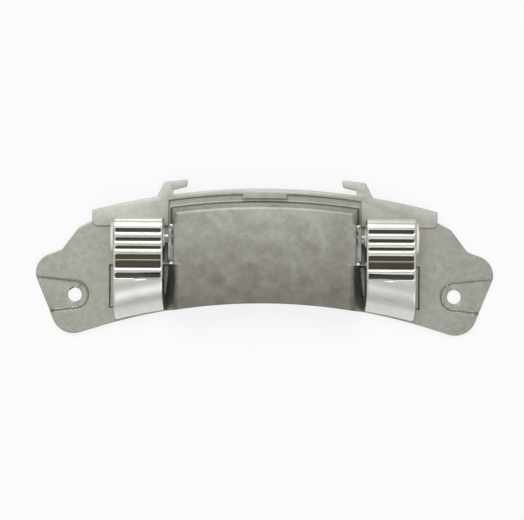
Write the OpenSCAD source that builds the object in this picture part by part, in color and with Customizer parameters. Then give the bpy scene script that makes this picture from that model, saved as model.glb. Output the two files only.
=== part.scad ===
/* [Base plate] */
// Distance between the two screw holes
hole_spacing = 161.1; // [156:0.1:170]
// Diameter of each screw hole
hole_d = 6; // [4:0.1:7]
// Thickness of the base plate's sheet
sheet_t = 1.5; // [1:0.1:2]
// How far the screw pads are pressed back behind the plate
pad_step = 1.2; // [0.6:0.1:1.4]
// Radius of the screw pad's round end
pad_r = 5.4; // [4.5:0.1:7]
// How much wider the pad is, on each side, at the plate's outer edge
pad_flare = 2.2; // [0:0.1:4]
// Radius of the curved lower edge
inner_r = 237.9; // [228:0.1:260]
// Height of the plate from the lower edge to the upper edge, along the radius
plate_h = 48.3; // [44:0.1:53]
// How far the base plate's upper edge stays behind the hook plate's
top_inset = 1.6; // [1:0.1:2]
// How far the lower edge lies below the screw holes, on the centre line
edge_drop = 2.9; // [2:0.1:4]
// Rounding of the lobe's outer upper corner
lobe_top_r = 8.5; // [5:0.1:10]
// Rounding of the lobe's outer lower corner
lobe_foot_r = 9.3; // [5:0.1:10]

/* [Raised panel] */
// Width of the raised panel beside the ears
panel_w = 76.8; // [69:0.1:84]
// How far the panel's side steps inwards below the ears
panel_jog = 1; // [0.6:0.1:1.6]
// Height of the panel's front face above the plate's front face
panel_rise = 14.7; // [14.2:0.1:18]
// Gap between the panel's front face and the band above it
panel_gap = 4.5; // [4.2:0.1:7]
// How far the upper wall spreads outwards from the panel down to the plate
top_spread = 1.2; // [0.4:0.1:1.4]
// How far each side wall below the ears spreads outwards
side_spread = 4.4; // [2:0.1:4.6]
// How far each side wall above the ears spreads outwards
neck_spread = 1; // [0.4:0.1:1.4]
// Inner bend radius of the pressed sheet
bend_r = 1; // [0.5:0.1:1.5]

/* [Ears] */
// Gap between the panel's free edge and the ear
ear_gap = 0.4; // [0.3:0.1:0.8]
// Length of the ear above the pivot
ear_up = 4.7; // [4.2:0.1:6]
// Length of the ear below the pivot
ear_down = 10.3; // [6:0.1:11]
// Width of the relief slit at each end of the ear
relief = 0.9; // [0.4:0.1:1.4]
// Wall of the ear in front of the shaft
ear_wall = 1.7; // [1.4:0.1:2.2]

/* [Hook plate] */
// Thickness of the hook plate's sheet
hook_t = 1.5; // [1:0.1:1.6]
// Width of the hook plate
wing_w = 146.2; // [136:0.1:150]
// Distance of the hook plate's lower edge above the pivot
wing_rise = 4.8; // [4.6:0.1:6]
// Width of the narrow band that crosses above the panel
band_h = 2.3; // [1.6:0.1:2.8]
// Width of the small tab under the band
tab_w = 18.8; // [10:0.1:30]
// Depth of the small tab under the band
tab_h = 1.9; // [1:0.1:2.4]
// Distance between the outer roots of the two hooks
hook_pitch = 91.4; // [86:0.1:100]
// Height of the hook above the plate's upper edge
hook_rise = 6.3; // [5.5:0.1:8]
// Length of the hook's bar, from its outer root to its tip
hook_reach = 13; // [11:0.1:15]
// Height of the hook's bar
hook_bar = 3; // [2.4:0.1:3.6]

/* [Arms] */
// Height of the pivot above the line through the screw holes
pivot_y = 24.5; // [24:0.1:26]
// Height of the pivot above the mounting plane
pivot_z = 12.3; // [12.2:0.1:12.8]
// Width of each arm
arm_w = 20.7; // [18:0.1:22]
// Gap between the ear and the arm
arm_gap = 2.1; // [1:0.1:3]
// Distance from the pivot to the arm's upper end
arm_head = 8.1; // [7.4:0.1:8.2]
// Height of the arm's ribbed face above the pivot
arm_face = 5.7; // [5.6:0.1:6]
// Radius of the arm's rounded lower end
nose_r = 15.7; // [13:0.1:16]
// Wall thickness of the arm
arm_wall = 1.6; // [1.2:0.1:2.2]
// Depth of the grooves between the ribs
groove_depth = 0.9; // [0.5:0.1:1.1]
// Width of the plain margin beside the ribs
rib_margin = 0.9; // [0.6:0.1:1.6]
// Clearance between the closed arm and the plate's lower edge
rest_gap = 0.5; // [0.3:0.1:1]
// Diameter of the tapped hole in the arm's screw boss
tap_d = 4.2; // [3.2:0.1:5]
// Depth of the tapped hole
tap_depth = 9; // [6:0.1:10]
// Diameter of the screw boss
boss_d = 9; // [8:0.1:11]
// Distance from the pivot down to the screw boss
boss_drop = 21.5; // [19:0.1:23]

/* [Shaft and bushes] */
// Diameter of the hinge shaft
shaft_d = 6; // [5:0.1:6]
// Radial running clearance between the shaft and the bush
shaft_play = 0.05; // [0.02:0.01:0.1]
// Wall thickness of the bush
bush_wall = 0.94; // [0.8:0.01:1.4]
// Diameter of the bush's collar
collar_d = 12.6; // [11:0.1:13]
// Thickness of the bush's collar
collar_t = 1.2; // [1:0.1:1.6]
// How far the bush stands out of the arm's inner side
bush_end = 0.5; // [0.2:0.1:0.9]
// Diameter of the shaft's riveted head
head_d = 8.4; // [7.4:0.1:9]
// Thickness of the shaft's riveted head
head_t = 0.5; // [0.3:0.1:0.7]

/* [Hidden] */

$fn = 96;
arc_steps = 8;
slack = 1;
window_gap = 0.4;
shoulder_run = 8.5;
edge_skirt = 2.5;
ear_root = 3;
wing_corner_r = 2.1;
wall_skirt = 4;
seat_fit = 0.02;
press_fit = 0.01;
head_play = 0.05;

// Levels above the mounting plane, which is the back of the screw pads
plate_back = pad_step;
plate_front = plate_back + sheet_t;
panel_front = plate_front + panel_rise;
panel_back = panel_front - sheet_t;
arm_front = pivot_z + arm_face;
arm_back = plate_front + rest_gap;
channel_top = arm_front - groove_depth - arm_wall;

// Places across the hinge, measured from the centre line
hole_x = hole_spacing / 2;
shaft_r = shaft_d / 2;
ear_in = panel_w / 2 + ear_gap;
ear_out = ear_in + sheet_t;
arm_in = ear_out + arm_gap;
arm_out = arm_in + arm_w;
arm_mid = arm_in + arm_w / 2;
collar_out = arm_out + collar_t;
panel_low_half = panel_w / 2 - panel_jog;
panel_low_foot = panel_low_half + side_spread;
window_x = ear_out + window_gap;
tangent_x = hole_x - shoulder_run;

// Places along the hinge, measured from the line through the screw holes
arc_y = -edge_drop - inner_r;
outer_r = inner_r + plate_h;
plate_top_r = outer_r - top_inset;
band_r = outer_r - band_h;
panel_r = band_r - panel_gap;
ear_top = pivot_y + ear_up;
ear_foot = pivot_y - ear_down;
wing_y = pivot_y + wing_rise;

// Corners of the left lobe, from the screw hole, each with its rounding
shoulder_x = 1.6;
shoulder_fall = 4.2;
lobe_corners = [
    [shoulder_x, arc_height(plate_top_r, hole_x - shoulder_x) - shoulder_fall, 1.5],
    [-5.4, 19.1, 2.5],
    [-19.2, 14.1, lobe_top_r],
    [-5.7, -18.5, lobe_foot_r]
];

// Pocket behind the arm's lower end
pocket_side = 2.2;
pocket_rim = 6.8;
pocket_wall = 1.2;
pocket_lap = 1;
pocket_top = ear_foot - relief - pocket_lap;

// Corners of the left hook, from its outer root, each with its rounding
hook_lean = 3.1;
hook_foot = 1.8;
hook_sink = 1.6;
hook_slope = 1.05;
slot_x = 6.85;
slot_slope = 1.45;
hook_corners = [
    [-hook_foot, -hook_sink / 2, 0],
    [0, 0, 1.2],
    [hook_lean, hook_rise, 2],
    [hook_reach, hook_rise + hook_slope, 0.6],
    [hook_reach - 0.25, hook_rise + hook_slope - hook_bar, 1.2],
    [slot_x, hook_rise + hook_slope - hook_bar - slot_slope, 0.4],
    [slot_x, -hook_sink / 2, 0],
    [slot_x - 1.2, -hook_sink, 0],
    [-hook_foot, -hook_sink, 0]
];

// Ribs across the arm: distance from the pivot, half width and height
top_pad = 3.2;
rib_end = -17.4;
ribs = [[0.9, 1.5, 1], [-2.7, 1.4, 1], [-6.1, 1.5, 1], [-9.7, 0.6, 0.4], [-13.9, 1.4, 1]];
top_fall = 1;
top_edge_r = 1.2;
head_bite = 1.2;
boss_y = pivot_y - boss_drop;
nose_set = 0.2;
head_ring = 0.2;

function unit(v) = v / norm(v);

// Arc that rounds the corner b between its neighbours a and c
function corner_arc(a, b, c, r) =
    let (
        u = unit(a - b),
        w = unit(c - b),
        half = acos(u * w) / 2,
        centre = b + unit(u + w) * r / sin(half),
        from = b + u * r / tan(half) - centre,
        to = b + w * r / tan(half) - centre,
        start = atan2(from[1], from[0]),
        sweep = (atan2(to[1], to[0]) - start + 540) % 360 - 180
    )
    [for (i = [0:arc_steps]) let (turn = start + sweep * i / arc_steps) centre + r * [cos(turn), sin(turn)]];

function flat(p) = [p[0], p[1]];

// Closed outline through corners [x, y, rounding]
function rounded(points) =
    let (n = len(points))
    [for (i = [0:n - 1])
        each points[i][2] == 0
            ? [flat(points[i])]
            : corner_arc(
                flat(points[(i + n - 1) % n]),
                flat(points[i]),
                flat(points[(i + 1) % n]),
                points[i][2]
            )];

// Height of a circle about the arc centre above the screw holes, at the distance x from the centre line
function arc_height(r, x) = arc_y + sqrt(r * r - x * x);

// Slope of a pressed wall, and the inner face that lies one sheet inside it
function wall_run(spread) = spread / panel_rise;
function wall_inside(edge, spread, z) =
    edge + (panel_front - z) * wall_run(spread) - sheet_t * sqrt(1 + wall_run(spread) * wall_run(spread));

module both_sides() {
    children();
    mirror([1, 0, 0]) children();
}

// Extrusion along X of a profile drawn in the YZ plane
module along_x(x0, x1) {
    translate([x0, 0, 0]) rotate([90, 0, 90]) linear_extrude(x1 - x0) children();
}

// Extrusion along Y of a profile drawn in the XZ plane
module along_y(y0, y1) {
    translate([0, y1, 0]) rotate([90, 0, 0]) linear_extrude(y1 - y0) children();
}

// Solid of revolution about the centre of the arcs
module about_arc() {
    translate([0, arc_y, 0]) rotate_extrude($fn = 360) children();
}

module arc_disc(r) {
    translate([0, arc_y]) circle(r = r, $fn = 360);
}

module shaft_bar(r, x0, x1) {
    translate([x0, pivot_y, pivot_z]) rotate([0, 90, 0]) cylinder(h = x1 - x0, r = r);
}

module lobe_side() {
    polygon(concat(
        [[0, plate_h], [-tangent_x, plate_h]],
        rounded([
            [-tangent_x, arc_height(plate_top_r, tangent_x) - edge_skirt, 0],
            for (p = lobe_corners) [p[0] - hole_x, p[1], p[2]],
            [-tangent_x, arc_height(inner_r, tangent_x), 0]
        ]),
        [[0, -plate_h]]
    ));
}

module plate_outline() {
    difference() {
        intersection() {
            both_sides() lobe_side();
            arc_disc(plate_top_r);
        }
        arc_disc(inner_r);
    }
}

// Screw pad, open towards the lobe's outer edge
module pad_outline(grow) {
    far_x = -hole_x - 2.2 * lobe_foot_r;
    half = pad_r + grow;
    translate([-hole_x, 0]) circle(r = half);
    polygon([
        [-hole_x, half],
        [far_x, half + pad_flare],
        [far_x, -half - pad_flare],
        [-hole_x, -half]
    ]);
}

// Pocket behind the arm's lower end; its inner side is sheared through the panel's side wall
module pocket_outline(grow) {
    far_x = arm_out + pocket_side + grow;
    difference() {
        polygon([
            [-far_x, pocket_top + grow],
            [-ear_out, pocket_top + grow],
            [-ear_out, pocket_top],
            [-panel_low_foot, 0],
            [-panel_low_foot, arc_height(inner_r, far_x)],
            [-far_x, arc_height(inner_r, far_x)]
        ]);
        arc_disc(inner_r + pocket_rim - grow);
    }
}

module wall_solid(edge, spread) {
    both_sides() polygon(rounded([
        [0, plate_back, 0],
        [ear_out + wall_skirt, plate_back, 0],
        [ear_out + wall_skirt, plate_front, 0],
        [edge + spread, plate_front, bend_r],
        [edge, panel_front, bend_r + sheet_t],
        [0, panel_front, 0]
    ]));
}

module wall_hollow(edge, spread) {
    both_sides() polygon(rounded([
        [0, -slack, 0],
        [wall_inside(edge, spread, -slack), -slack, 0],
        [wall_inside(edge, spread, panel_back), panel_back, bend_r],
        [0, panel_back, 0]
    ]));
}

module panel_solid() {
    intersection() {
        about_arc() polygon(rounded([
            [inner_r - wall_skirt, plate_back, 0],
            [plate_top_r, plate_back, 0],
            [plate_top_r, plate_front, 0],
            [panel_r + top_spread, plate_front, bend_r],
            [panel_r, panel_front, bend_r + sheet_t],
            [inner_r - wall_skirt, panel_front, 0]
        ]));
        union() {
            along_y(arc_height(inner_r, ear_out + wall_skirt) - slack, ear_foot - relief)
                wall_solid(panel_low_half, side_spread);
            along_y(ear_foot - relief, ear_top + relief) both_sides() polygon(rounded([
                [0, plate_back, 0],
                [panel_w / 2, plate_back, 0],
                [panel_w / 2, panel_front, sheet_t * 0.9],
                [0, panel_front, 0]
            ]));
            along_y(ear_top + relief, plate_h) wall_solid(panel_w / 2, neck_spread);
        }
    }
}

module panel_hollow() {
    intersection() {
        about_arc() polygon(rounded([
            [inner_r - 2 * wall_skirt, -slack, 0],
            [wall_inside(panel_r, top_spread, -slack), -slack, 0],
            [wall_inside(panel_r, top_spread, panel_back), panel_back, bend_r],
            [inner_r - 2 * wall_skirt, panel_back, 0]
        ]));
        union() {
            along_y(arc_height(inner_r, ear_out + wall_skirt) - 2 * slack, ear_foot - relief)
                wall_hollow(panel_low_half, side_spread);
            translate([-ear_in, ear_foot - relief, -slack])
                cube([2 * ear_in, ear_up + ear_down + 2 * relief, panel_back + slack]);
            along_y(ear_top + relief, plate_h) wall_hollow(panel_w / 2, neck_spread);
        }
    }
}

// Ear folded forwards from the plate, with its bend
module ear() {
    tip = pivot_z + shaft_r + ear_wall;
    along_x(-ear_out, -ear_in) polygon(rounded([
        [ear_foot, plate_front, 0],
        [ear_foot, tip, 2],
        [ear_top, tip, 2],
        [ear_top, plate_front, 0]
    ]));
    along_y(ear_foot, ear_top) polygon(rounded([
        [-ear_out - ear_root, plate_back, 0],
        [-ear_out - ear_root, plate_front, 0],
        [-ear_out, plate_front, bend_r],
        [-ear_out, plate_front + 2 * bend_r, 0],
        [-ear_in, plate_front + 2 * bend_r, 0],
        [-ear_in, plate_back, bend_r + sheet_t]
    ]));
}

module base_plate() {
    color("#a2a198") difference() {
        union() {
            difference() {
                union() {
                    translate([0, 0, plate_back]) linear_extrude(sheet_t) plate_outline();
                    panel_solid();
                }
                panel_hollow();
            }
            both_sides() {
                ear();
                linear_extrude(plate_front) intersection() {
                    plate_outline();
                    pad_outline(pocket_wall);
                }
                linear_extrude(plate_front) pocket_outline(pocket_wall);
            }
        }
        both_sides() {
            translate([0, 0, sheet_t]) linear_extrude(sheet_t + pad_step) pad_outline(0);
            translate([0, 0, sheet_t]) linear_extrude(panel_front) pocket_outline(0);
            translate([-hole_x, 0, -slack]) cylinder(h = plate_front + 2 * slack, d = hole_d);
        }
        shaft_bar(shaft_r + seat_fit, -ear_out - slack, ear_out + slack);
        translate([0, 0, -slack]) linear_extrude(panel_front + 2 * slack) arc_disc(inner_r);
    }
}

module hook() {
    root_x = hook_pitch / 2;
    translate([-root_x, arc_height(outer_r, root_x)]) polygon(rounded(hook_corners));
}

// Both wings and the band between them, around the window for the panel
module wings() {
    difference() {
        intersection() {
            arc_disc(outer_r);
            polygon(rounded([
                [-wing_w / 2, wing_y, wing_corner_r],
                [-wing_w / 2, outer_r, 0],
                [wing_w / 2, outer_r, 0],
                [wing_w / 2, wing_y, wing_corner_r]
            ]));
        }
        difference() {
            intersection() {
                arc_disc(band_r);
                translate([-window_x, 0]) square([2 * window_x, outer_r]);
            }
            difference() {
                translate([-tab_w / 2, 0]) square([tab_w, outer_r]);
                arc_disc(band_r - tab_h);
            }
        }
    }
}

module hook_plate() {
    color("#b6b5ad") translate([0, 0, plate_front]) union() {
        linear_extrude(hook_t) wings();
        both_sides() linear_extrude(hook_t) hook();
    }
}

// Shaft that carries both arms, held by the two ears and riveted over at its ends
module hinge_shaft() {
    head_x = collar_out - head_t - head_play;
    color("#8f8f8c") union() {
        shaft_bar(shaft_r, -head_x, head_x);
        both_sides() shaft_bar(head_d / 2, head_x, head_x + head_t);
    }
}

// Side view of the arm: a round head about the pivot and a straight body
module arm_side() {
    translate([pivot_y, pivot_z]) circle(r = arm_head);
    polygon(rounded([
        [pivot_y, pivot_z - arm_head, 0],
        [pivot_y - 6, arm_back, 0],
        [-plate_h, arm_back, 0],
        [-plate_h, arm_front, 0],
        [pivot_y + top_pad, arm_front, 3],
        [pivot_y + arm_head, arm_front - top_fall, top_edge_r],
        [pivot_y + arm_head, pivot_z, 0],
        [pivot_y, pivot_z, 0]
    ]));
}

// Section of the arm's lower end, which rolls back to the plate's lower edge
module nose_section(inset) {
    centre = [inner_r + nose_r + nose_set, arm_front - nose_r];
    steps = 4 * arc_steps;
    polygon(concat(
        [[centre[0] - nose_r + inset, -slack]],
        [for (i = [0:steps]) centre + (nose_r - inset) * [-cos(90 * i / steps), sin(90 * i / steps)]],
        [[outer_r, centre[1] + nose_r - inset], [outer_r, -slack]]
    ));
}

module rib_bars() {
    for (rib = ribs) {
        height = groove_depth * rib[2];
        r = (rib[1] * rib[1] + height * height) / (2 * height);
        translate([arm_in + rib_margin / 2, pivot_y + rib[0], arm_front - groove_depth + height - r])
            rotate([0, 90, 0]) cylinder(h = arm_w - rib_margin, r = r);
    }
}

// Hollow behind the arm's front wall, around the screw boss
module arm_channel() {
    difference() {
        intersection() {
            translate([arm_in + arm_wall, -plate_h, 0])
                cube([arm_w - 2 * arm_wall, plate_h + pivot_y - arm_head + head_bite, channel_top]);
            about_arc() nose_section(arm_wall + nose_set);
        }
        translate([arm_mid, boss_y, 0]) cylinder(h = channel_top + slack, d = boss_d);
    }
}

// Arm on the right-hand side, closed
module arm() {
    difference() {
        union() {
            difference() {
                intersection() {
                    along_x(arm_in, arm_out) arm_side();
                    about_arc() nose_section(0);
                }
                translate([arm_in + rib_margin, pivot_y + rib_end, arm_front - groove_depth])
                    cube([arm_w - 2 * rib_margin, top_pad - rib_end, groove_depth + slack]);
                arm_channel();
            }
            rib_bars();
        }
        translate([arm_mid, boss_y, 0]) cylinder(h = arm_back + tap_depth, d = tap_d);
        shaft_bar(shaft_r + shaft_play + bush_wall + press_fit, arm_in - slack, arm_out + slack);
    }
}

// Long flanged bush, pressed into the arm from its outer side
module bush() {
    recess = head_t + 2 * head_play;
    difference() {
        union() {
            shaft_bar(shaft_r + shaft_play + bush_wall, arm_in - bush_end, arm_out);
            shaft_bar(collar_d / 2, arm_out, collar_out);
        }
        shaft_bar(shaft_r + shaft_play, arm_in - bush_end - slack, collar_out + slack);
        shaft_bar(head_d / 2 + head_ring, collar_out - recess, collar_out + slack);
    }
}

module right_arm() {
    color("#d7d8d0") arm();
}

module left_arm() {
    color("#d7d8d0") mirror([1, 0, 0]) arm();
}

module right_bush() {
    color("#e4e1d8") bush();
}

module left_bush() {
    color("#e4e1d8") mirror([1, 0, 0]) bush();
}

base_plate();
hook_plate();
hinge_shaft();
left_arm();
right_arm();
left_bush();
right_bush();
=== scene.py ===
"""Looks of the porthole door hinge: pressed galvanised sheet, nickel-plated cast arms, steel shaft and nylon bushes.

Shapes are worked out in millimetres, in the CAD model's frame, and put into their meshes in metres.
"""

import bmesh
import bpy
import numpy as np
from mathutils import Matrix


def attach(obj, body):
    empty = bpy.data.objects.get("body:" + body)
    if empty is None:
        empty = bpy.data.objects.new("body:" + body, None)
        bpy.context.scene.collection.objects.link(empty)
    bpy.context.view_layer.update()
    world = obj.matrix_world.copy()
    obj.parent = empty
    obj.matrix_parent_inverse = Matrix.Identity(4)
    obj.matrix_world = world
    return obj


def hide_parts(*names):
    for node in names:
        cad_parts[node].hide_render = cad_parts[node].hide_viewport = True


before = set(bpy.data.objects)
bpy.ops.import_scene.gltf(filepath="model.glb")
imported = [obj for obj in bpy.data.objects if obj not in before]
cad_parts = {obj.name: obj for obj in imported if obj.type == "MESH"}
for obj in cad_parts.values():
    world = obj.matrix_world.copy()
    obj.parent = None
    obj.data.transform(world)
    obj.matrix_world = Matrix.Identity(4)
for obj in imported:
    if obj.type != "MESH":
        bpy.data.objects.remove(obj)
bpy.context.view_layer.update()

MM = 0.001

# Sizes of the base plate, as in the part's source
HOLE_X = 80.55
HOLE_R = 3.0
SHEET = 1.5
PAD_STEP = 1.2
PAD_R = 5.4
PAD_FLARE = 0.1075
PLATE_BACK = 1.2
PLATE_FRONT = 2.7
PANEL_RISE = 14.7
PANEL_FRONT = 17.4
PANEL_BACK = 15.9
ARC_Y = -240.8
INNER_R = 237.9
OUTER_R = 286.2
PLATE_TOP_R = 284.6
BAND_R = 283.9
PANEL_R = 279.4
PANEL_HALF = 38.4
PANEL_LOW_HALF = 37.4
TOP_SPREAD = 1.2
SIDE_SPREAD = 4.4
NECK_SPREAD = 1.0
PANEL_LOW_FOOT = 41.8
TANGENT_X = 72.05
POCKET_FAR_X = 65.3
POCKET_TOP = 12.3
POCKET_RIM_R = 244.7
RELIEF = 0.9

# Ears, shaft and arms
EAR_IN = 38.8
EAR_OUT = 40.3
EAR_FOOT = 14.2
EAR_TOP = 29.2
EAR_TIP = 17.0
PIVOT_Y = 24.5
PIVOT_Z = 12.3
SHAFT_R = 3.0
ARM_IN = 42.4
ARM_OUT = 63.1
ARM_WALL = 1.6
ARM_FRONT = 18.0
ARM_BACK = 3.2
ARM_HEAD = 8.1
NOSE_R = 15.7
CHANNEL_TOP = 15.5
BOSS_Y = 3.0
COLLAR_OUT = 64.3

# Rounding that shearing leaves on the sheet's face side
EDGE_R = 0.28


def soft_step(t):
    """Zero up to 0, one from 1, and a smooth S between them: 3 t squared less 2 t cubed."""
    t = np.clip(t, 0.0, 1.0)
    return t * t * (3.0 - 2.0 * t)


def arc_height(r, x):
    """Height above the screw holes of a circle of radius r about the hinge's arc centre, at distance x from the middle."""
    return ARC_Y + np.sqrt(r * r - x * x)


def edge_drop(d, r=EDGE_R):
    """Fall of a quarter-round edge of radius r at distance d inside the cut: r less the root of r squared less (r - d) squared."""
    inside = np.clip(r - d, 0.0, r)
    return r - np.sqrt(r * r - inside * inside)


def rounded_outline(corners, steps=8):
    """Closed outline through corners [x, y, r]: each corner with r over 0 becomes an arc that touches both its sides."""
    corners = np.asarray(corners, float)
    points = []
    for k in range(len(corners)):
        a, b, c = corners[k - 1, :2], corners[k, :2], corners[(k + 1) % len(corners), :2]
        r = corners[k, 2]
        if r == 0:
            points.append(b[None, :])
            continue
        u = (a - b) / np.linalg.norm(a - b)
        w = (c - b) / np.linalg.norm(c - b)
        half = np.arccos(np.clip(u @ w, -1, 1)) / 2
        centre = b + (u + w) / np.linalg.norm(u + w) * r / np.sin(half)
        start = b + u * r / np.tan(half) - centre
        end = b + w * r / np.tan(half) - centre
        first = np.arctan2(start[1], start[0])
        sweep = (np.arctan2(end[1], end[0]) - first + 3 * np.pi) % (2 * np.pi) - np.pi
        turn = first + sweep * np.linspace(0, 1, steps + 1)
        points.append(centre + r * np.stack([np.cos(turn), np.sin(turn)], axis=1))
    return np.concatenate(points)


def grid_faces(rows, cols, closed_rows=False, closed_cols=False):
    """Quads of a grid of rows by cols points, row by row; a closed direction joins its last line to its first."""
    i = np.arange(rows if closed_rows else rows - 1)
    j = np.arange(cols if closed_cols else cols - 1)
    i, j = (g.ravel() for g in np.meshgrid(i, j, indexing="ij"))
    i2, j2 = (i + 1) % rows, (j + 1) % cols
    return np.stack([i * cols + j, i2 * cols + j, i2 * cols + j2, i * cols + j2], axis=1)


def make_piece(name, points, faces, body, nodes, finish, smooth=35.0, marks=None):
    """Mesh from points in mm and quads or polygons: doubles merged, normals outwards, faces smooth below the angle given."""
    mesh = bpy.data.meshes.new(name)
    mesh.from_pydata((np.asarray(points, float) * MM).tolist(), [], [list(map(int, f)) for f in faces])
    # marks carry painted shade: a per-point darkening that the shader reads
    if marks is not None:
        layer = mesh.attributes.new("painted_groove_shade", "FLOAT", "POINT")
        layer.data.foreach_set("value", np.asarray(marks, np.float32))
    work = bmesh.new()
    work.from_mesh(mesh)
    bmesh.ops.remove_doubles(work, verts=work.verts, dist=2e-6)
    bmesh.ops.dissolve_degenerate(work, edges=work.edges, dist=1e-6)
    bmesh.ops.recalc_face_normals(work, faces=work.faces)
    work.to_mesh(mesh)
    work.free()
    mesh.polygons.foreach_set("use_smooth", np.ones(len(mesh.polygons), bool))
    mesh.set_sharp_from_angle(angle=np.radians(smooth))
    piece = bpy.data.objects.new(name, mesh)
    bpy.context.scene.collection.objects.link(piece)
    mesh.materials.append(finish)
    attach(piece, body)
    if nodes:
        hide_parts(*nodes)
    return piece


# Finishes


def linear(hex_colour):
    """sRGB hex to linear RGBA: below 0.04045 over 12.92, else ((c + 0.055) / 1.055) to the power 2.4."""
    c = np.array([int(hex_colour[k:k + 2], 16) for k in (1, 3, 5)]) / 255.0
    c = np.where(c <= 0.04045, c / 12.92, ((c + 0.055) / 1.055) ** 2.4)
    return (*c.tolist(), 1.0)


def add(tree, kind, settings=None, links=None):
    """Adds one node; settings are its properties or its inputs, links its inputs fed from other nodes' sockets."""
    node = tree.nodes.new(kind)
    for key, value in (settings or {}).items():
        if isinstance(key, str) and hasattr(node, key) and key not in node.inputs:
            setattr(node, key, value)
        else:
            node.inputs[key].default_value = value
    for key, socket in (links or {}).items():
        tree.links.new(socket, node.inputs[key])
    return node


def ramp(tree, fac, stops):
    """Colour ramp through stops (place, colour), fed by fac."""
    node = add(tree, "ShaderNodeValToRGB", links={"Fac": fac})
    band = node.color_ramp
    while len(band.elements) < len(stops):
        band.elements.new(0.5)
    for element, (place, colour) in zip(band.elements, stops):
        element.position = place
        element.color = colour
    return node.outputs["Color"]


def new_finish(name):
    """Empty material with its shader, and its Object coordinates in millimetres."""
    finish = bpy.data.materials.new(name)
    finish.use_nodes = True
    tree = finish.node_tree
    tree.nodes.clear()
    shader = add(tree, "ShaderNodeBsdfPrincipled")
    add(tree, "ShaderNodeOutputMaterial", links={"Surface": shader.outputs[0]})
    place = add(tree, "ShaderNodeTexCoord").outputs["Object"]
    mm = add(tree, "ShaderNodeMapping", {"Scale": (1000, 1000, 1000)}, {"Vector": place}).outputs[0]
    return finish, tree, shader, mm


def grey(value):
    return (value, value, value, 1.0)


def galvanised_sheet(name, light, dark, stained):
    """Hot-dip galvanised steel sheet, passivated: a dull zinc face with faint cloudy spangle, rolling scuffs and, on the raised panel, brown-grey stains."""
    finish, tree, shader, mm = new_finish(name)
    cloud = add(tree, "ShaderNodeTexNoise", {"Scale": 1 / 22, "Detail": 3.0, "Roughness": 0.55}, {"Vector": mm})
    spangle = add(tree, "ShaderNodeTexNoise", {"Scale": 1 / 2.6, "Detail": 4.0, "Roughness": 0.7}, {"Vector": mm})
    grain = add(tree, "ShaderNodeTexNoise", {"Scale": 1 / 0.45, "Detail": 2.0}, {"Vector": mm})
    tone = add(tree, "ShaderNodeMath", {"operation": "MULTIPLY_ADD", 1: 0.5},
               {0: cloud.outputs[0], 2: spangle.outputs[0]}).outputs[0]
    base = ramp(tree, tone, [(0.52, linear(dark)), (0.95, linear(light))])
    if stained:
        part = add(tree, "ShaderNodeSeparateXYZ", links={"Vector": mm})
        raised = add(tree, "ShaderNodeMapRange", {"From Min": 6.0, "From Max": 16.0}, {"Value": part.outputs["Z"]})
        low = add(tree, "ShaderNodeMapRange", {"From Min": 38.0, "From Max": 2.0, "To Min": 0.30, "To Max": 0.62},
                  {"Value": part.outputs["Y"]})
        blotch = add(tree, "ShaderNodeTexNoise", {"Scale": 1 / 9, "Detail": 5.0, "Roughness": 0.62}, {"Vector": mm})
        patch = add(tree, "ShaderNodeMath", {"operation": "MULTIPLY_ADD", 1: 0.55},
                    {0: blotch.outputs[0], 2: low.outputs[0]}).outputs[0]
        stain = ramp(tree, patch, [(0.58, grey(0.0)), (0.95, grey(1.0))])
        much = add(tree, "ShaderNodeMath", {"operation": "MULTIPLY"}, {0: stain, 1: raised.outputs[0]}).outputs[0]
        base = mix_colour(tree, much, base, linear("#74726a"))
    tree.links.new(base, shader.inputs["Base Color"])
    rough = add(tree, "ShaderNodeMapRange", {"To Min": 0.36, "To Max": 0.56}, {"Value": spangle.outputs[0]})
    tree.links.new(rough.outputs[0], shader.inputs["Roughness"])
    shader.inputs["Metallic"].default_value = 0.85
    bump = add(tree, "ShaderNodeBump", {"Strength": 0.25, "Distance": 0.00003}, {"Height": grain.outputs[0]})
    tree.links.new(bump.outputs[0], shader.inputs["Normal"])
    return finish


def mix_colour(tree, factor, a, b):
    """Colour a where factor is 0 and b where it is 1; either may be a socket or a colour."""
    node = add(tree, "ShaderNodeMix", {"data_type": "RGBA"})
    for socket, value in ((node.inputs[0], factor), (node.inputs[6], a), (node.inputs[7], b)):
        if isinstance(value, bpy.types.NodeSocket):
            tree.links.new(value, socket)
        else:
            socket.default_value = value
    return node.outputs[2]


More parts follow.
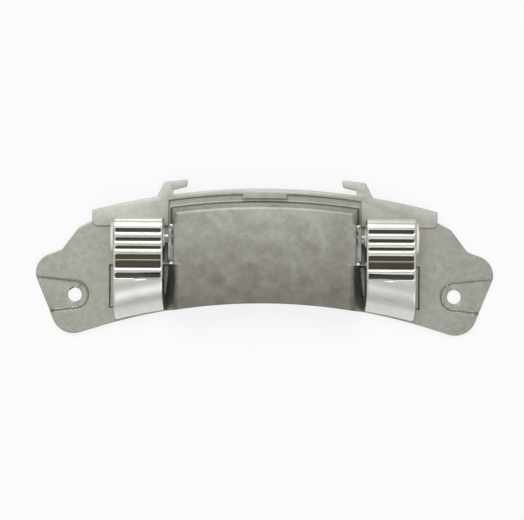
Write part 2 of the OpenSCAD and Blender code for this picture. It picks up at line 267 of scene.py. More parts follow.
def nickel_plate(name):
    """Satin nickel over die-cast zinc: bright and warm, with painted shade and reflection that make the grooves darker
    and brownish.
    """
    finish, tree, shader, mm = new_finish(name)
    cloud = add(tree, "ShaderNodeTexNoise", {"Scale": 1 / 7, "Detail": 3.0}, {"Vector": mm})
    speck = add(tree, "ShaderNodeTexNoise", {"Scale": 1 / 0.5, "Detail": 3.0, "Roughness": 0.7}, {"Vector": mm})
    base = ramp(tree, cloud.outputs[0], [(0.3, linear("#d3d3cd")), (0.7, linear("#dddcd6"))])
    # painted shade and reflection: the grooves' depth, stored on the mesh, darkens the nickel to brown and grey in the
    # grooves
    painted_groove_shade = add(tree, "ShaderNodeAttribute", {"attribute_name": "painted_groove_shade"}).outputs["Fac"]
    uneven = add(tree, "ShaderNodeMath", {"operation": "MULTIPLY_ADD", 1: 0.5, 2: -0.25}, {0: speck.outputs[0]}).outputs[0]
    amount = add(tree, "ShaderNodeMath", {"operation": "ADD"}, {0: painted_groove_shade, 1: uneven}).outputs[0]
    keep = add(tree, "ShaderNodeMath", {"operation": "MULTIPLY"}, {0: amount, 1: painted_groove_shade}).outputs[0]
    tint = ramp(tree, keep, [(0.0, grey(1.0)), (0.16, linear("#c9c3ae")), (0.45, linear("#8f8870")), (0.8, linear("#5b5b58"))])
    node = add(tree, "ShaderNodeMix", {"data_type": "RGBA", "blend_type": "MULTIPLY"})
    node.inputs[0].default_value = 1.0
    tree.links.new(base, node.inputs[6])
    tree.links.new(tint, node.inputs[7])
    tree.links.new(node.outputs[2], shader.inputs["Base Color"])
    rough = add(tree, "ShaderNodeMapRange", {"To Min": 0.26, "To Max": 0.38}, {"Value": speck.outputs[0]})
    tree.links.new(rough.outputs[0], shader.inputs["Roughness"])
    shader.inputs["Metallic"].default_value = 1.0
    bump = add(tree, "ShaderNodeBump", {"Strength": 0.12, "Distance": 0.00004}, {"Height": speck.outputs[0]})
    tree.links.new(bump.outputs[0], shader.inputs["Normal"])
    return finish


def natural_nylon(name):
    """Moulded natural nylon: milky warm white with a low sheen and a little light passing through."""
    finish, tree, shader, mm = new_finish(name)
    cloud = add(tree, "ShaderNodeTexNoise", {"Scale": 1 / 3, "Detail": 3.0}, {"Vector": mm})
    base = ramp(tree, cloud.outputs[0], [(0.3, linear("#dedad0")), (0.7, linear("#e8e5dc"))])
    tree.links.new(base, shader.inputs["Base Color"])
    shader.inputs["Roughness"].default_value = 0.45
    shader.inputs["IOR"].default_value = 1.53
    shader.inputs["Subsurface Weight"].default_value = 0.08
    shader.inputs["Subsurface Radius"].default_value = (0.001, 0.0008, 0.0006)
    bump = add(tree, "ShaderNodeBump", {"Strength": 0.1, "Distance": 0.00003}, {"Height": cloud.outputs[0]})
    tree.links.new(bump.outputs[0], shader.inputs["Normal"])
    return finish


def ground_steel(name):
    """Bright drawn and ground steel bar: fine rings round the shaft from the grinding, under a film of grease."""
    finish, tree, shader, mm = new_finish(name)
    along = add(tree, "ShaderNodeMapping", {"Scale": (2.2, 0.05, 0.05)}, {"Vector": mm}).outputs[0]
    rings = add(tree, "ShaderNodeTexNoise", {"Scale": 1.0, "Detail": 3.0}, {"Vector": along})
    base = ramp(tree, rings.outputs[0], [(0.3, linear("#8a8a86")), (0.7, linear("#a3a39e"))])
    tree.links.new(base, shader.inputs["Base Color"])
    shader.inputs["Metallic"].default_value = 1.0
    rough = add(tree, "ShaderNodeMapRange", {"To Min": 0.22, "To Max": 0.36}, {"Value": rings.outputs[0]})
    tree.links.new(rough.outputs[0], shader.inputs["Roughness"])
    bump = add(tree, "ShaderNodeBump", {"Strength": 0.15, "Distance": 0.00002}, {"Height": rings.outputs[0]})
    tree.links.new(bump.outputs[0], shader.inputs["Normal"])
    return finish


base_finish = galvanised_sheet("galvanised_base_sheet", "#b0afa7", "#97968d", True)
hook_finish = galvanised_sheet("galvanised_hook_sheet", "#c3c2bb", "#adaca4", False)
arm_finish = nickel_plate("nickel_plated_arm")
bush_finish = natural_nylon("nylon_bush")
shaft_finish = ground_steel("ground_steel_shaft")


# Base plate


def pressed(d, run, rise, top_r, foot_r):
    """Fall of a pressed wall at distance d outside its top edge: flat, an arc of top_r, a straight slope of rise over run, an arc of foot_r, flat."""
    angle = np.arctan2(rise, run)
    top_t, foot_t = top_r * np.tan(angle / 2), foot_r * np.tan(angle / 2)
    fall = np.zeros_like(d)
    arc = np.sqrt(np.clip(top_r**2 - (d + top_t) ** 2, 0, None)) - top_r
    fall = np.where(d > -top_t, arc, fall)
    fall = np.where(d > -top_t + top_r * np.sin(angle), -d * rise / run, fall)
    foot = foot_r - rise - np.sqrt(np.clip(foot_r**2 - (run + foot_t - d) ** 2, 0, None))
    fall = np.where(d > run - foot_t * np.cos(angle), foot, fall)
    return np.where(d > run + foot_t, -rise, fall)


def pad_outside(x, y):
    """Distance outside a screw pad's edge: a circle round the screw hole, open outwards with sides that flare."""
    out = np.abs(x) - HOLE_X
    return np.where(out > 0, np.abs(y) - PAD_R - PAD_FLARE * out, np.hypot(out, y) - PAD_R)


def pocket_outside(x, y):
    """Distance outside the pocket behind an arm's lower end: the largest of its three sides' distances."""
    r = np.hypot(x, y - ARC_Y)
    return np.maximum(np.maximum(np.abs(x) - POCKET_FAR_X, y - POCKET_TOP), POCKET_RIM_R - r)


def base_height(x, y, zone, back):
    """Height of the pressed base sheet: the plate, plus the raised panel, less the screw pads and pockets.

    The panel is the lower of two pressed walls, one about the arc and one across it. zone is 0 below the ears,
    1 beside them, where the panel's side is cut free, and 2 above them.
    """
    slope = {0: SIDE_SPREAD, 1: 0.01, 2: NECK_SPREAD}
    half = {0: PANEL_LOW_HALF, 1: PANEL_HALF, 2: PANEL_HALF}
    ax = np.abs(x)
    r = np.hypot(x, y - ARC_Y)
    top, level, top_r, foot_r = PANEL_FRONT, PLATE_FRONT, 2.5, 1.0
    if back:
        top, level, top_r, foot_r = PANEL_BACK, PLATE_BACK, 1.0, 2.5

    def moved(spread):
        lean = spread / PANEL_RISE
        return SHEET * (lean - np.sqrt(1 + lean * lean)) if back else 0.0

    height = top + pressed(r - PANEL_R - moved(TOP_SPREAD), TOP_SPREAD, PANEL_RISE, top_r, foot_r)
    for z in (0, 1, 2):
        if z == 1:
            edge = top - edge_drop(EAR_IN - 0.4 - ax, 0.9) if not back else np.full_like(ax, top)
            side = np.where(ax <= PANEL_HALF + 0.01, edge, level)
            bend = np.clip(EAR_OUT + 1.0 - ax, 0, 1.0)
            by_ear = (y > EAR_FOOT) & (y < EAR_TOP) & (ax >= EAR_OUT - 0.01)
            if not back:
                side = np.where(by_ear, level + 1.0 - np.sqrt(1.0 - bend * bend * 0.98), side)
        else:
            side = top + pressed(ax - half[z] - moved(slope[z]), slope[z], PANEL_RISE, top_r, foot_r)
        height = np.where(zone == z, np.minimum(height, side), height)
    pad = PAD_STEP * (1 - soft_step(pad_outside(x, y) / 0.85))
    pocket = PAD_STEP * (1 - soft_step(pocket_outside(x, y) / 0.6))
    cut_x = PANEL_LOW_FOOT - (PANEL_LOW_FOOT - EAR_OUT) * np.clip(y / POCKET_TOP, 0, 1)
    beyond = soft_step((ax - cut_x + 0.15) / 0.3)
    in_pocket = (zone == 0) & (y < POCKET_TOP + 0.7) & (r > POCKET_RIM_R - 0.7)
    height = np.where(in_pocket, height * (1 - beyond) + (level - pocket) * beyond, height)
    return height - np.where(ax > 60, pad, 0.0)


def lobe_outline():
    """Upper and lower outline of the right lobe, as points that run outwards to its tip."""
    shoulder = arc_height(PLATE_TOP_R, HOLE_X - 1.6) - 4.2
    corners = [
        [60.0, arc_height(INNER_R, 60.0), 0],
        [TANGENT_X, arc_height(INNER_R, TANGENT_X), 0],
        [HOLE_X + 5.7, -18.5, 9.3],
        [HOLE_X + 19.2, 14.1, 8.5],
        [HOLE_X + 5.4, 19.1, 2.5],
        [HOLE_X - 1.6, shoulder, 1.5],
        [TANGENT_X + 0.05, arc_height(PLATE_TOP_R, TANGENT_X) - 2.5, 0],
        [60.0, shoulder, 0],
    ]
    points = rounded_outline(corners, 24)[:-1]
    tip = int(np.argmax(points[:, 0]))
    return points[tip::1], points[: tip + 1]


def plate_limits(ax):
    """Lowest and highest point of the base plate at the distance ax from the middle."""
    upper, lower = lobe_outline()
    upper = upper[::-1]
    low = np.where(ax < TANGENT_X, arc_height(INNER_R, np.minimum(ax, TANGENT_X)), np.interp(ax, lower[:, 0], lower[:, 1]))
    high = np.where(ax <= TANGENT_X, arc_height(PLATE_TOP_R, np.minimum(ax, TANGENT_X)),
                    np.interp(ax, upper[:, 0], upper[:, 1]))
    return low, high, upper[-1, 0]


def base_columns(tip):
    """Distances from the middle of the base plate's grid lines, close together at the bends and over the lobe."""
    near_tip = tip - 3.0 * (1 - np.sin(np.linspace(0, np.pi / 2, 22)))
    half = np.concatenate([
        np.linspace(0, 34.5, 15), np.arange(34.9, 38.0, 0.25), [38.1, 38.28, 38.4, 38.8, 38.95, 39.1],
        np.arange(39.3, 40.2, 0.25), [40.3, 40.36, 40.5, 40.7, 41.0, 41.3], np.arange(41.5, 43.1, 0.25),
        [44.0, 48.0, 54.0, 60.0, 64.6, 65.1], np.arange(65.3, 66.3, 0.17), [68.0, 70.5, 72.0, 72.1],
        np.arange(72.4, tip - 3.1, 0.33), near_tip
    ])
    half = np.unique(np.round(half, 4))
    return np.concatenate([-half[:0:-1], half])


def base_rows():
    """Rows of the base plate's grid: heights at the middle, each with the part of the plate that it belongs to."""
    gaps = np.array([0.0, 0.08, EDGE_R])
    below = np.concatenate([np.arange(-11.0, 9.0, 0.4), [10.0, 11.0, 11.8, 12.3, 12.65, 13.0, 13.25]])
    beside = np.array([13.35, 14.15, 14.25, 15.5, 17.0, 19.0, 21.0, 23.0, 25.0, 27.0, 29.15, 29.25, 30.05])
    above = np.array([30.15, 31.5, 33.0])
    return gaps, below, beside, above


def base_plate():
    """One pressed sheet: a front and a back height over a grid that follows the plate's curved edges."""
    _, _, tip = plate_limits(np.zeros(1))
    xs = base_columns(tip)
    ax = np.abs(xs)
    low, high, _ = plate_limits(ax)
    gaps, below, beside, above = base_rows()
    wall_r = np.concatenate([[275.0, 276.0], np.arange(276.6, 282.4, 0.2), [283.0, 283.6]])

    # Heights of every row at every column of the middle part
    anchor = np.minimum(ax, 66.0)
    low_a, high_a = arc_height(INNER_R, anchor), arc_height(PLATE_TOP_R, anchor)
    rows = [low_a + g for g in gaps]
    start = gaps[-1]
    first, last = below[0], below[-1]
    for v in below[1:]:
        rows.append(low_a + start + (last - low_a - start) * (v - first) / (last - first))
    for v in np.concatenate([beside, above[:1]]):
        rows.append(np.full_like(anchor, v))
    off_arc = soft_step((anchor - 42.0) / 4.0)
    bottom, room = above[0], high_a - EDGE_R - above[0]
    first_r, last_r = wall_r[0] - 2.0, PLATE_TOP_R
    neck_end = arc_height(wall_r[0], anchor) * (1 - off_arc) + (bottom + room * 2.0 / (last_r - first_r)) * off_arc
    for v in above[1:]:
        rows.append(bottom + (neck_end - bottom) * (v - bottom) / (34.5 - bottom))
    for r in wall_r:
        share = (r - first_r) / (last_r - first_r)
        rows.append(arc_height(r, anchor) * (1 - off_arc) + (bottom + room * share) * off_arc)
    rows += [high_a - g for g in gaps[::-1]]
    ys = np.array(rows)
    zone = np.zeros(len(ys), int)
    count = len(gaps) + len(below) - 1
    zone[count:count + len(beside)] = 1
    zone[count + len(beside):] = 2

    # Over the lobes the rows spread out evenly
    part = (ys - low_a - EDGE_R) / (high_a - low_a - 2 * EDGE_R)
    even = (np.arange(len(ys)) - 2.0)[:, None] / (len(ys) - 5)
    blend = soft_step((ax - 66.0) / 6.0)[None, :]
    part = part * (1 - blend) + even * blend
    height = high - low
    lean_low = np.sqrt(1 + np.clip(np.gradient(low, xs), -3, 3) ** 2)
    lean_high = np.sqrt(1 + np.clip(np.gradient(high, xs), -1.5, 1.5) ** 2)
    rim_low = np.minimum(lean_low, 1.2 * height)
    rim_high = np.minimum(lean_high, 1.2 * height)
    spread = low + EDGE_R * rim_low + part * (height - EDGE_R * (rim_low + rim_high))
    ys = np.where(ax[None, :] > 66.0, spread, ys)
    for k, g in enumerate(gaps):
        ys[k] = low + g * rim_low
        ys[-1 - k] = high - g * rim_high
    gx = np.broadcast_to(xs, ys.shape)
    gzone = np.broadcast_to(zone[:, None], ys.shape)
    front = base_height(gx, ys, gzone, False)
    rear = base_height(gx, ys, gzone, True)
    for k, g in enumerate(gaps):
        front[k] -= edge_drop(g)
        front[-1 - k] -= edge_drop(g)

    keep = np.ones((ys.shape[0] - 1, ys.shape[1] - 1), bool)
    mid_x = np.abs((xs[1:] + xs[:-1]) / 2)
    row_zone = zone[:-1]
    join = zone[:-1] != zone[1:]
    beside_cells = (row_zone == 1) & ~join
    keep[np.ix_(beside_cells, (mid_x > 38.4) & (mid_x < 38.8))] = False
    keep[np.ix_(beside_cells, (mid_x > 38.8) & (mid_x < 40.3))] = False
    keep[np.ix_(join, (mid_x > 34.9) & (mid_x < 42.9))] = False
    return xs, ys, front, rear, keep


def sheet_mesh(xs, ys, front, rear, keep):
    """Closed shell over the kept cells of two height grids, with walls along every cut, and a round hole in each lobe."""
    n_rows, n_cols = ys.shape
    gx = np.broadcast_to(xs, ys.shape)
    hole_sets = []
    uncut = keep.copy()
    for side in (-1, 1):
        cols = np.where(np.abs(xs - side * HOLE_X) < 3.7)[0]
        mid = cols[len(cols) // 2]
        rows = np.where(np.abs(ys[:, mid]) < 3.7)[0]
        keep[rows[0]:rows[-1], cols[0]:cols[-1]] = False
        hole_sets.append((side, rows, cols))
    index = np.arange(n_rows * n_cols).reshape(n_rows, n_cols)
    points = [np.stack([gx, ys, front], -1).reshape(-1, 3), np.stack([gx, ys, rear], -1).reshape(-1, 3)]
    back = n_rows * n_cols
    r, c = np.where(keep)
    quad = np.stack([index[r, c], index[r, c + 1], index[r + 1, c + 1], index[r + 1, c]], 1)
    faces = [quad, quad[:, ::-1] + back]

    # Walls where a kept cell meets a cut or the outline
    framed = np.zeros((n_rows + 1, n_cols + 1), bool)
    framed[1:-1, 1:-1] = uncut
    edge = framed[1:, :] != framed[:-1, :]
    r, c = np.where(edge[:, 1:-1])
    a, b = index[r, c], index[r, c + 1]
    faces.append(np.stack([a, b, b + back, a + back], 1))
    edge = framed[:, 1:] != framed[:, :-1]
    r, c = np.where(edge[1:-1, :])
    a, b = index[r, c], index[r + 1, c]
    faces.append(np.stack([a, b, b + back, a + back], 1))

    # Rings from each hole's square block in to the round hole
    total = 2 * back
    for side, rows, cols in hole_sets:
        loop = np.concatenate([
            index[rows[0], cols[:-1]], index[rows[:-1], cols[-1]], index[rows[-1], cols[:0:-1]], index[rows[:0:-1], cols[0]]
        ])
        outer = points[0][loop]
        angle = np.arctan2(outer[:, 1], outer[:, 0] - side * HOLE_X)
        reach = np.array([HOLE_R, HOLE_R + 0.03, HOLE_R + 0.1, HOLE_R + 0.25])
        ring_x = side * HOLE_X + reach[:, None] * np.cos(angle)
        ring_y = reach[:, None] * np.sin(angle)
        drop = edge_drop(reach - HOLE_R, 0.25)[:, None]
        n = len(loop)
        up = np.stack([ring_x, ring_y, SHEET - drop + 0 * ring_x], -1).reshape(-1, 3)
        down = np.stack([ring_x, ring_y, 0 * ring_x], -1).reshape(-1, 3)
        points += [up, down]
        k = np.arange(n)
        k2 = (k + 1) % n
        first, second = total, total + len(up)
        for m in range(len(reach) - 1):
            a, b = first + m * n, first + (m + 1) * n
            faces.append(np.stack([a + k, b + k, b + k2, a + k2], 1))
            a, b = second + m * n, second + (m + 1) * n
            faces.append(np.stack([a + k2, b + k2, b + k, a + k], 1))
        last = (len(reach) - 1) * n
        faces.append(np.stack([first + last + k, loop[k], loop[k2], first + last + k2], 1))
        faces.append(np.stack([second + last + k2, loop[k2] + back, loop[k] + back, second + last + k], 1))
        faces.append(np.stack([first + k, first + k2, second + k2, second + k], 1))
        total += len(up) + len(down)
    return np.concatenate(points), np.concatenate(faces)


def ear(side):
    """Ear beside the panel: rings from the shaft's hole out to a rounded outline, on both faces of the sheet, closed through the hole."""
    outline = rounded_outline([[EAR_FOOT, 1.9, 0], [EAR_TOP, 1.9, 0], [EAR_TOP, EAR_TIP, 2.2], [EAR_FOOT, EAR_TIP, 2.2]], 10)
    step = np.linalg.norm(np.diff(outline, axis=0, append=outline[:1]), axis=1)
    length = np.concatenate([[0], np.cumsum(step)])
    closed = np.concatenate([outline, outline[:1]])
    s = np.union1d(np.linspace(0, length[-1], 90)[:-1], length[:-1])
    line = np.stack([np.interp(s, length, closed[:, 0]), np.interp(s, length, closed[:, 1])], 1)
    centre = np.array([PIVOT_Y, PIVOT_Z])
    out = line - centre
    reach = np.linalg.norm(out, axis=1, keepdims=True)
    turn = out / reach
    hole = SHAFT_R + 0.02
    rings = []
    for x, gap in ((EAR_OUT, EDGE_R), (EAR_OUT - 0.07, 0.08), (EAR_OUT - EDGE_R, 0.0),
                   (EAR_IN + 0.12, 0.0), (EAR_IN, 0.12)):
        ring = centre + turn * (reach - gap)
        rings.append(np.concatenate([np.full((len(s), 1), side * x), ring], 1))
    for x, gap in ((EAR_IN, 0.2), (EAR_IN + 0.2, 0.0), (EAR_OUT - 0.2, 0.0), (EAR_OUT, 0.2)):
        ring = centre + turn * (hole + gap)
        rings.append(np.concatenate([np.full((len(s), 1), side * x), ring], 1))
    points = np.array(rings)
    return points.reshape(-1, 3), grid_faces(points.shape[0], points.shape[1], True, True)


xs, ys, front, rear, keep = base_plate()
points, faces = sheet_mesh(xs, ys, front, rear, keep)
plate_piece = make_piece("base_sheet", points, faces, "plate", ["base_plate"], base_finish)
for side, label in ((-1, "left"), (1, "right")):
    points, faces = ear(side)
    make_piece(f"{label}_ear", points, faces, "plate", [], base_finish)


# Hook plate


def wing_outline():
    """Outline of the hook plate: two wings, the band and its tab between them, and the two hooks on the upper edge."""
    def along(r, x0, x1, n):
        x = np.linspace(x0, x1, n)
        return [[a, b, 0] for a, b in zip(x, arc_height(r, x))]

    window = EAR_OUT + 0.4
    root = 45.7
    hook = np.array([
        [0, 0, 1.2], [3.1, 6.3, 2], [13, 7.35, 0.6], [12.75, 4.35, 1.2], [6.85, 2.9, 0.4]
    ])
    foot = float(arc_height(OUTER_R, root))
    left = [[-root + p[0], foot + p[1], p[2]] for p in hook]
    left.append([-root + 6.85, float(arc_height(OUTER_R, root - 6.85)), 0])
    right = [[-p[0], p[1], p[2]] for p in left]
    tab = BAND_R - 1.9
    corners = (
        [[-73.1, 29.3, 2.1], [-window, 29.3, 0.3]]
        + [[-window, float(arc_height(BAND_R, window)), 0.3]] + along(BAND_R, -window + 0.6, -9.4, 24)
        + along(tab, -9.4, 9.4, 12) + along(BAND_R, 9.4, window - 0.6, 24)
        + [[window, float(arc_height(BAND_R, window)), 0.3]]
        + [[window, 29.3, 0.3], [73.1, 29.3, 2.1]]
        + along(OUTER_R, 73.1, root + 2.0, 20) + right + along(OUTER_R, root - 8.0, -root + 8.0, 50)
        + left[::-1] + along(OUTER_R, -root - 2.0, -73.1, 20)
    )
    return rounded_outline(corners, 6)


def inset(line, gap):
    """Closed line moved inwards by gap, along the mean of its two sides' normals, lengthened at its corners."""
    ahead = np.roll(line, -1, 0) - line
    ahead /= np.linalg.norm(ahead, axis=1, keepdims=True)
    behind = np.roll(ahead, 1, 0)
    normal = np.stack([-ahead[:, 1], ahead[:, 0]], 1) + np.stack([-behind[:, 1], behind[:, 0]], 1)
    size = np.sum(normal * normal, 1, keepdims=True)
    return line + 2 * normal / np.maximum(size, 0.8) * gap


def plate_from_outline(line, low, high, top_r, foot_r):
    """Flat sheet: its outline with a rounded upper and a slightly rounded lower edge, and one face on each side."""
    half = np.linspace(0, np.pi / 2, 5)
    rings = [(foot_r * (1 - np.sin(a)), low + foot_r * (1 - np.cos(a))) for a in half]
    rings += [(top_r * (1 - np.cos(a)), high - top_r * (1 - np.sin(a))) for a in half]
    n = len(line)
    points = [np.concatenate([inset(line, gap), np.full((n, 1), z)], 1) for gap, z in rings]
    faces = grid_faces(len(rings), n, False, True).tolist()
    faces.append(list(range(n))[::-1])
    faces.append([(len(rings) - 1) * n + k for k in range(n)])
    return np.concatenate(points), faces


outline = wing_outline()
gap = np.linalg.norm(outline - np.roll(outline, 1, 0), axis=1)
outline = outline[gap > 0.01]
points, faces = plate_from_outline(outline, PLATE_FRONT, PLATE_FRONT + SHEET, EDGE_R, 0.12)
make_piece("hook_sheet", points, faces, "plate", ["hook_plate"], hook_finish)


# Arms


def turned(profile, side, steps=96):
    """Turned part about the pivot: a profile of [x, r] points carried round the shaft's axis."""
    profile = np.asarray(profile, float)
    turn = np.linspace(0, 2 * np.pi, steps, endpoint=False)
    x = side * np.repeat(profile[:, :1], steps, 1)
    y = PIVOT_Y + profile[:, 1:2] * np.cos(turn)
    z = PIVOT_Z + profile[:, 1:2] * np.sin(turn)
    return np.stack([x, y, z], -1).reshape(-1, 3)


def corner_arc(cx, cr, radius, first, last, steps=5):
    """Arc of an [x, r] profile about (cx, cr), from the angle first to last in degrees."""
    a = np.radians(np.linspace(first, last, steps))
    return [[cx + radius * c, cr + radius * s] for c, s in zip(np.cos(a), np.sin(a))]


def bush_profile():
    """Closed profile of the flanged bush: the bore, the barrel that ends beyond the arm, and a collar with rounded rims."""
    e = 0.35
    return (
        [[41.9, 3.05], [41.9, 3.99 - 0.15], [42.05, 3.99], [ARM_OUT, 3.99], [ARM_OUT, 6.3 - 0.15]]
        + corner_arc(ARM_OUT + 0.15, 6.3 - 0.15, 0.15, 180, 90) + corner_arc(COLLAR_OUT - e, 6.3 - e, e, 90, 0)
        + [[COLLAR_OUT, 4.4], [COLLAR_OUT - 0.6, 4.4], [COLLAR_OUT - 0.6, 3.05]]
    )


def shaft_profile():
    """Profile of the shaft from its middle to one end, with the low dome of the riveted head."""
    a = np.linspace(0, np.pi / 2, 7)
    head = [[64.0 + 0.25 * np.sin(t), 4.2 - 0.25 * (1 - np.cos(t))] for t in a]
    return [[0, 3.0], [63.75, 3.0], [63.75, 4.2], [64.0, 4.2]] + head[1:] + [[64.25, 1.6], [64.1, 0.9], [64.05, 0.0]]


def groove_map(y):
    """Depth of the grooves between the ribs, 0 on a rib's top and 1 at a groove's bottom, at the height y."""
    at = y - PIVOT_Y
    ribs = np.array([[0.9, 1.5, 1.0], [-2.7, 1.4, 1.0], [-6.1, 1.5, 1.0], [-9.7, 0.6, 0.4], [-13.9, 1.4, 1.0]])
    rise = np.zeros_like(y)
    for place, half, height in ribs:
        t = np.clip(1 - ((at - place) / half) ** 2, 0, None)
        rise = np.maximum(rise, height * np.sqrt(t))
    top = soft_step((at - 3.2) / 0.5)
    smooth = soft_step((-17.4 + 0.9 - at) / 0.9)
    return 1 - np.maximum(np.maximum(rise, top), smooth)


def arm_mesh(side):
    """Cast arm: a side profile carried across its width, pulled in at its edges, hollow between its side walls."""
    edge = 0.7
    turn = np.linspace(0, np.pi / 2, 7)
    near = edge * (1 - np.cos(turn))
    inside = [0.9 * 1.3, ARM_WALL - 0.01, ARM_WALL, 2.6]
    across = np.concatenate([near, inside, np.linspace(4.0, ARM_OUT - ARM_IN - 4.0, 8)])
    width = ARM_OUT - ARM_IN
    across = np.unique(np.round(np.concatenate([across, width - near, width - np.array(inside)]), 4))
    x = ARM_IN + across
    to_side = np.minimum(across, width - across)
    pull = edge - np.sqrt(np.clip(edge**2 - (edge - np.clip(to_side, 0, edge)) ** 2, 0, None))

    # Front path, the same for every station but for the nose, whose centre follows the arc
    nose = np.linspace(-0.0, np.pi / 2, 30)
    nose_y = arc_height(INNER_R + NOSE_R + 0.2, x)[:, None]
    nose_z = ARM_FRONT - NOSE_R
    path_y = [nose_y - NOSE_R * np.cos(nose)]
    path_z = [nose_z + NOSE_R * np.sin(nose) + 0 * nose_y]
    straight = np.concatenate([np.linspace(0, 1, 12)[1:]])
    rib_foot = PIVOT_Y - 17.6
    path_y.append(nose_y + (rib_foot - nose_y) * straight)
    path_z.append(ARM_FRONT + 0 * path_y[-1])
    ribbed = np.arange(rib_foot + 0.12, PIVOT_Y + 4.4, 0.12)
    path_y.append(ribbed + 0 * nose_y)
    path_z.append(ARM_FRONT + 0 * path_y[-1])
    crown = np.linspace(0, 1, 8)[1:]
    path_y.append(PIVOT_Y + 4.4 + 2.3 * crown + 0 * nose_y)
    path_z.append(ARM_FRONT - 0.75 * crown**2 + 0 * path_y[-1])
    lip = np.linspace(0.35, np.pi / 2, 8)
    path_y.append(PIVOT_Y + ARM_HEAD - 1.25 + 1.25 * np.sin(lip) + 0 * nose_y)
    path_z.append(ARM_FRONT - 1.0 - 1.1 + 1.25 * np.cos(lip) + 0 * path_y[-1])
    head = np.linspace(0, -np.pi / 2, 20)
    path_y.append(PIVOT_Y + ARM_HEAD * np.cos(head) + 0 * nose_y)
    path_z.append(PIVOT_Z + ARM_HEAD * np.sin(head) + 0 * path_y[-1])
    path_y.append(np.array([PIVOT_Y - 3.0, PIVOT_Y - 6.0, PIVOT_Y - 9.0]) + 0 * nose_y)
    path_z.append(np.array([3.7, ARM_BACK, ARM_BACK]) + 0 * path_y[-1])
    py, pz = np.concatenate(path_y, 1), np.concatenate(path_z, 1)
    pz = np.maximum(pz, ARM_BACK)

    # Pull every station in towards the inside by its share of the edge's rounding
    ty, tz = np.gradient(py, axis=1), np.gradient(pz, axis=1)
    size = np.hypot(ty, tz) + 1e-9
    ny, nz = tz / size, -ty / size
    groove = groove_map(py) * (pz > ARM_FRONT - 0.01)
    margin = soft_step((to_side - 0.55) / 0.75)[:, None]
    depth = 0.9 * groove * margin
    fy = py + ny * pull[:, None]
    fz = pz + nz * (pull[:, None] + depth)
    fz = np.maximum(fz, ARM_BACK)

    # Back path: the side walls' flat back, or the hollow's ceiling
    n = py.shape[1]
    hollow = (to_side > ARM_WALL - 0.005)[:, None]
    ceiling_y = np.clip(py, None, PIVOT_Y - ARM_HEAD + 1.2)
    inner = NOSE_R - ARM_WALL - 0.2
    rise = np.clip(nose_y - ceiling_y, 0, inner)
    ceiling_z = np.minimum(CHANNEL_TOP, nose_z + np.sqrt(np.clip(inner**2 - rise**2, 0, None)))
    start = nose_y - inner
    ceiling_y = np.maximum(ceiling_y, start)
    reach = np.linspace(0, 1, n)[None, :]
    flat_y = fy[:, :1] + 0.4 + (PIVOT_Y - 6.0 - fy[:, :1] - 0.4) * reach
    by = np.where(hollow, ceiling_y, flat_y)
    bz = np.where(hollow, np.maximum(ceiling_z, ARM_BACK), ARM_BACK)
    by = np.where(hollow & (reach > 0.999), PIVOT_Y - ARM_HEAD + 1.2, by)
    bz = np.where(hollow & (reach > 0.999), ARM_BACK, bz)
    gx = side * np.repeat(x[:, None], n, 1)
    front_pts = np.stack([gx, fy, fz], -1)
    back_pts = np.stack([gx, by, bz], -1)[:, ::-1]
    loop = np.concatenate([front_pts, back_pts], 1)
    # painted shade: each front point's groove depth, zero on the back, for the shader to darken the grooves
    painted_shade = np.concatenate([groove_map(py) * (pz > ARM_FRONT - 0.01) * margin, np.zeros_like(py)], 1)
    rows, cols = loop.shape[:2]
    faces = grid_faces(rows, cols, False, True).tolist()
    for row in (0, rows - 1):
        k = np.arange(n - 1)
        base = row * cols
        faces += np.stack([base + k, base + k + 1, base + cols - 2 - k, base + cols - 1 - k], 1).tolist()
    return loop.reshape(-1, 3), faces, painted_shade.ravel()


def boss_mesh(side):
    """Screw boss inside the arm, closed through its tapped hole."""
    x = side * (ARM_IN + ARM_OUT) / 2
    profile = np.array([[4.5, 15.6], [4.5, ARM_BACK + 0.3], [4.2, ARM_BACK], [2.5, ARM_BACK], [2.1, ARM_BACK + 0.4], [2.1, 12.2], [0.0, 12.6]])
    turn = np.linspace(0, 2 * np.pi, 64, endpoint=False)
    px = x + profile[:, :1] * np.cos(turn)
    py = BOSS_Y + profile[:, :1] * np.sin(turn)
    pz = np.repeat(profile[:, 1:], 64, 1)
    return np.stack([px, py, pz], -1).reshape(-1, 3), grid_faces(len(profile), 64, False, True)


for side, label in ((-1, "left"), (1, "right")):
    body = f"{label}_door_arm"
    points, faces, painted_shade = arm_mesh(side)
    make_piece(f"{label}_cast_arm", points, faces, body, [f"{label}_arm"], arm_finish, 50, painted_shade)
    points, faces = boss_mesh(side)
    make_piece(f"{label}_screw_boss", points, faces, body, [], arm_finish, 50)
    profile = bush_profile()
    make_piece(f"{label}_flanged_bush", turned(profile, side), grid_faces(len(profile), 96, True, True), body,
               [f"{label}_bush"], bush_finish)
half = shaft_profile()
profile = [[-x, r] for x, r in half[:0:-1]] + half
make_piece("riveted_shaft", turned(profile, 1), grid_faces(len(profile), 96, False, True), "plate",
           ["hinge_shaft"], shaft_finish)


# Floor and light


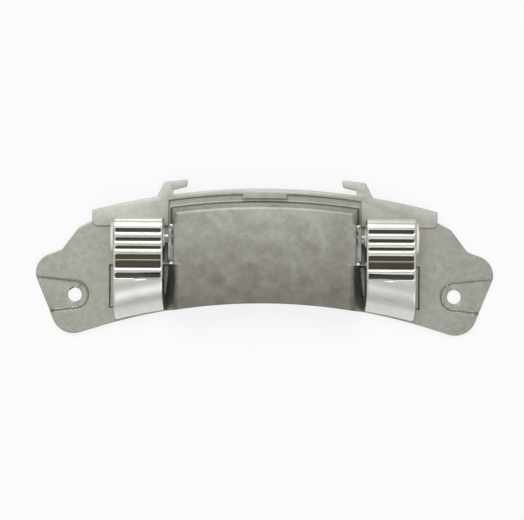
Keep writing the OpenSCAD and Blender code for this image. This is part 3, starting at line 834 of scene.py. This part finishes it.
def white_floor():
    """Matt white floor: white to the camera, to reflections and through glass, with the object's soft shadow kept."""
    finish = bpy.data.materials.new("white_floor")
    finish.use_nodes = True
    tree = finish.node_tree
    tree.nodes.clear()
    matt = add(tree, "ShaderNodeBsdfDiffuse", {"Color": linear("#f4f4f4")})
    glow = add(tree, "ShaderNodeEmission", {"Color": (1, 1, 1, 1), "Strength": 1.0})
    path = add(tree, "ShaderNodeLightPath")
    seen = add(tree, "ShaderNodeMath", {"operation": "MAXIMUM"}, {0: path.outputs["Is Camera Ray"], 1: path.outputs["Is Glossy Ray"]})
    seen = add(tree, "ShaderNodeMath", {"operation": "MAXIMUM"}, {0: seen.outputs[0], 1: path.outputs["Is Transmission Ray"]})
    share = add(tree, "ShaderNodeMath", {"operation": "MULTIPLY", 1: 0.8}, {0: seen.outputs[0]})
    both = add(tree, "ShaderNodeMixShader", links={0: share.outputs[0], 1: matt.outputs[0], 2: glow.outputs[0]})
    add(tree, "ShaderNodeOutputMaterial", links={"Surface": both.outputs[0]})
    return finish


floor_mesh = bpy.data.meshes.new("floor")
floor_mesh.from_pydata([(-3, -3, -0.0004), (3, -3, -0.0004), (3, 3, -0.0004), (-3, 3, -0.0004)], [], [(0, 1, 2, 3)])
floor_mesh.materials.append(white_floor())
floor = bpy.data.objects.new("floor", floor_mesh)
bpy.context.scene.collection.objects.link(floor)

world = bpy.data.worlds.new("studio")
bpy.context.scene.world = world
world.use_nodes = True
tree = world.node_tree
tree.nodes.clear()
path = add(tree, "ShaderNodeLightPath")
room = add(tree, "ShaderNodeBackground", {"Color": (1, 1, 1, 1), "Strength": 0.62})
white = add(tree, "ShaderNodeBackground", {"Color": (1, 1, 1, 1), "Strength": 1.0})
sky = add(tree, "ShaderNodeMixShader", links={0: path.outputs["Is Camera Ray"], 1: room.outputs[0], 2: white.outputs[0]})
add(tree, "ShaderNodeOutputWorld", links={"Surface": sky.outputs[0]})


def softbox(name, place, target, size, power):
    """Square area lamp at place, turned to face target."""
    lamp = bpy.data.lights.new(name, "AREA")
    lamp.shape = "SQUARE"
    lamp.size = size
    lamp.energy = power
    holder = bpy.data.objects.new(name, lamp)
    holder.location = place
    aim = np.array(target) - np.array(place)
    aim = aim / np.linalg.norm(aim)
    holder.rotation_euler = (np.arccos(-aim[2]), 0.0, np.arctan2(-aim[0], aim[1]))
    bpy.context.scene.collection.objects.link(holder)


softbox("upper_softbox", (-0.25, 0.75, 1.5), (0, 0.015, 0), 0.9, 9.0)
softbox("lower_softbox", (0.5, -1.1, 1.2), (0, 0.015, 0), 0.8, 3.5)

lens = bpy.data.cameras.new("camera")
lens.lens = 129.4
lens.sensor_width = 36.0
lens.clip_start = 0.05
camera = bpy.data.objects.new("camera", lens)
camera.location = (-0.0011, 0.0152, 0.8015)
camera.rotation_euler = (0.0, 0.0, np.radians(0.4))
bpy.context.scene.collection.objects.link(camera)
bpy.context.scene.camera = camera
bpy.context.scene.view_settings.view_transform = "Standard"
